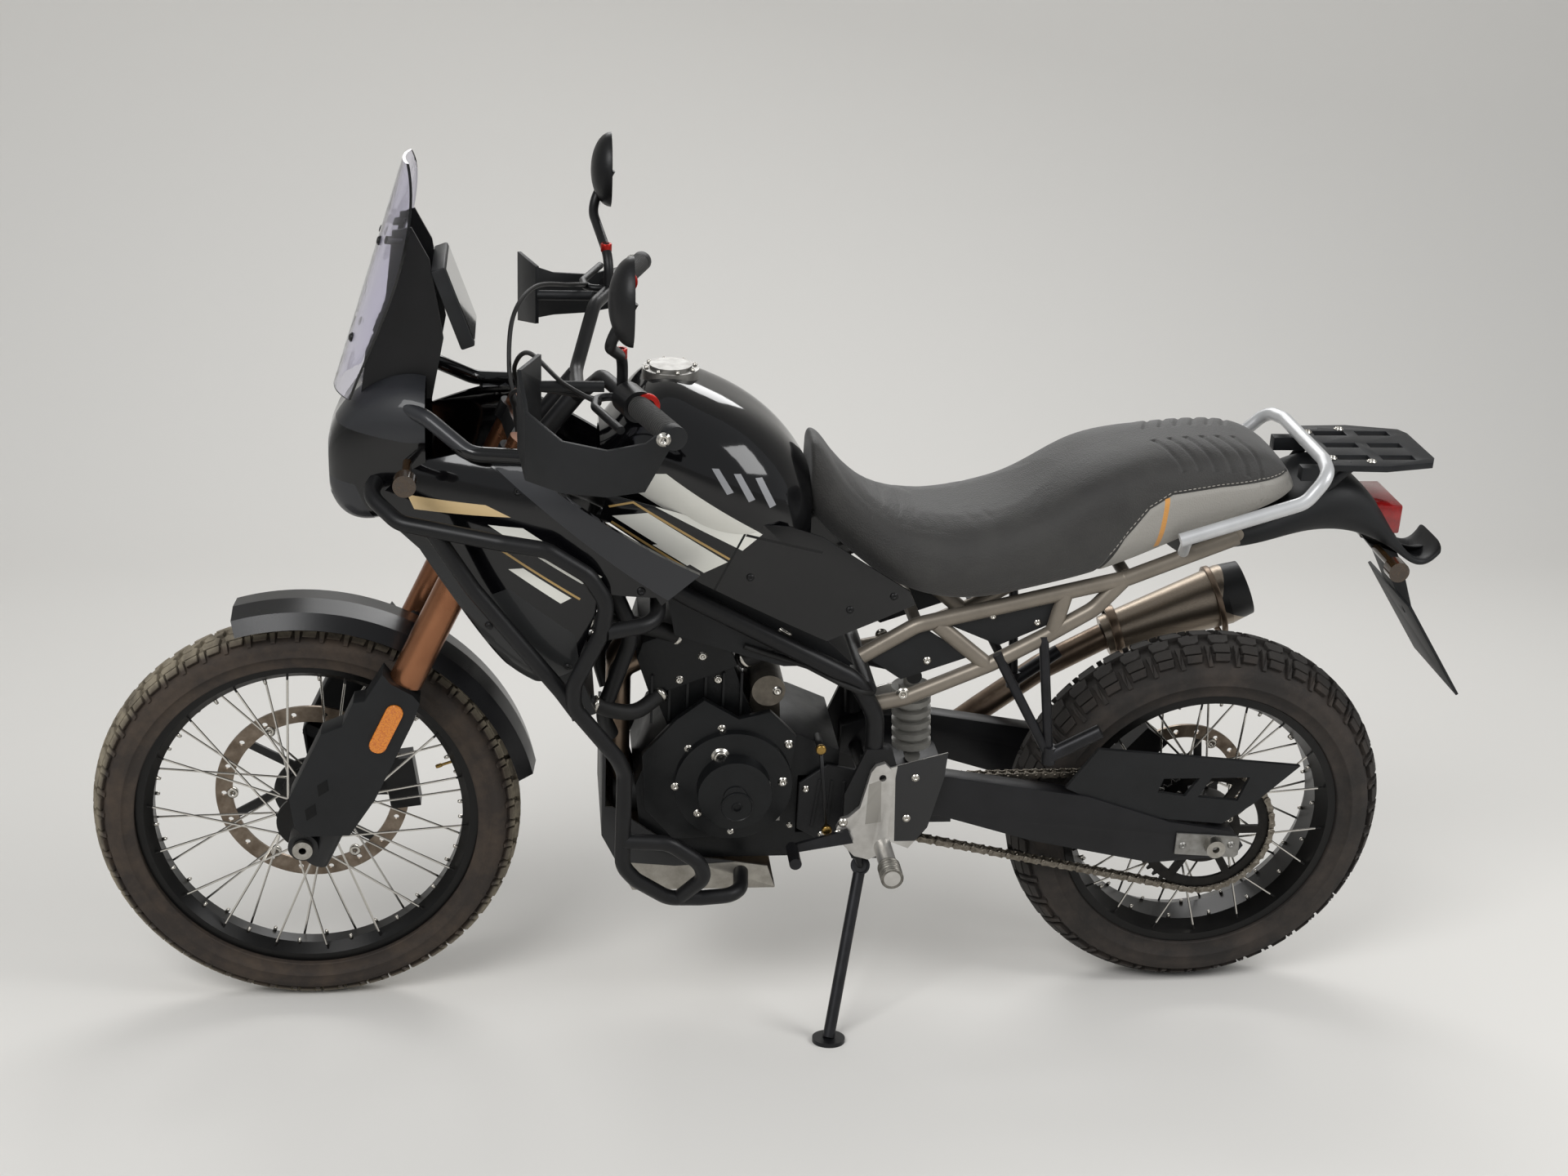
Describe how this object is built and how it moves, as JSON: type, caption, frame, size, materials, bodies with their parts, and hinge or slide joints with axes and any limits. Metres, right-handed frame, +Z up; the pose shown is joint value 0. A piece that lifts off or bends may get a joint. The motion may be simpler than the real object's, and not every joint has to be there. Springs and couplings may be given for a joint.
{
  "type": "adventure motorcycle",
  "caption": "Adventure motorcycle with wire-spoke wheels, tall fork, crash bars, clear screen, long seat and rear rack, parked on its side stand.",
  "frame": {"origin": "on the floor below the middle of the parked motorcycle's bounding box", "axes": "+X to the motorcycle's rear, +Y to its right, +Z up; the motorcycle leans over to its left, -Y, on its side stand"},
  "size_m": [2.2563, 0.9276, 1.4421],
  "materials": {
    "tyre_rubber": "matte",
    "rim_black": "satin",
    "disc_steel": "brushed",
    "chain_steel": "satin",
    "fork_bronze": "anodised satin",
    "fork_steel": "polished",
    "axle_steel": "satin",
    "black_metal": "satin",
    "grip_rubber": "matte",
    "matte_black": "matte",
    "gloss_black": "gloss",
    "subframe_grey": "satin",
    "bare_alloy": "satin",
    "engine_black": "satin",
    "cover_alloy": "satin",
    "exhaust_steel": "satin",
    "radiator_black": "matte",
    "shock_steel": "satin",
    "seat_vinyl": "matte",
    "clear_screen": "clear",
    "lamp_lens": "clear",
    "amber_lens": "gloss",
    "red_lens": "gloss",
    "display_glass": "gloss"
  },
  "bodies": {
    "chassis": {"main_frame": "black_metal", "shock": "shock_steel", "swingarm": "black_metal", "chain_guard": "matte_black", "subframe": "subframe_grey", "engine_block": "engine_black", "cylinder_head": "engine_black", "engine_covers": "cover_alloy", "starter_motor": "cover_alloy", "airbox": "matte_black", "exhaust_pipe": "exhaust_steel", "silencer": "exhaust_steel", "radiator": "radiator_black", "skid_plate": "bare_alloy", "crash_bars": "black_metal", "fuel_tank": "gloss_black", "tank_panels": "gloss_black", "fuel_cap": "bare_alloy", "seat": "seat_vinyl", "front_cowl": "gloss_black", "headlight": "lamp_lens", "side_fairings": "gloss_black", "windscreen": "clear_screen", "screen_bracket": "black_metal", "instrument_display": "display_glass", "indicators": "amber_lens", "side_covers": "matte_black", "tail_fairing": "matte_black", "tail_light": "red_lens", "grab_rail": "bare_alloy", "luggage_rack": "cover_alloy", "plate_holder": "matte_black", "footrests": "bare_alloy", "pillion_footrests": "bare_alloy", "foot_levers": "bare_alloy", "rear_caliper": "black_metal", "chain": "chain_steel", "rear_axle": "axle_steel"},
    "front_end": {"fork_tubes": "fork_bronze", "fork_legs": "fork_steel", "triple_clamps": "black_metal", "handlebar": "black_metal", "grips": "grip_rubber", "bar_controls": "black_metal", "hand_guards": "matte_black", "mirrors": "black_metal", "front_fender": "matte_black", "fork_guards": "matte_black", "front_caliper": "black_metal", "front_axle": "axle_steel"},
    "front_wheel": {"front_tyre": "tyre_rubber", "front_wire_wheel": "rim_black", "front_disc": "disc_steel"},
    "rear_wheel": {"rear_tyre": "tyre_rubber", "rear_wire_wheel": "rim_black", "rear_disc": "disc_steel", "rear_sprocket": "chain_steel"},
    "side_stand": {"side_stand": "shock_steel"}
  },
  "joints": [
    {"name": "steering", "type": "hinge", "parent": "chassis", "child": "front_end", "pos_m": [-0.48993, 0.05767, 0.81909], "axis": [0.4281, -0.1414, 0.8926], "range_deg": [-38, 38]},
    {"name": "front_wheel_spin", "type": "hinge", "parent": "front_end", "child": "front_wheel", "pos_m": [-0.7812, 0.13302, 0.34334], "axis": [0, 0.9877, 0.1564], "continuous": true},
    {"name": "rear_wheel_spin", "type": "hinge", "parent": "chassis", "child": "rear_wheel", "pos_m": [0.7238, 0.13593, 0.32495], "axis": [0, 0.9877, 0.1564], "continuous": true},
    {"name": "side_stand_fold", "type": "hinge", "parent": "chassis", "child": "side_stand", "pos_m": [0.1268, 0.02107, 0.27031], "axis": [-0.1772, -0.9152, 0.3619], "range_deg": [0, 100]}
  ]
}
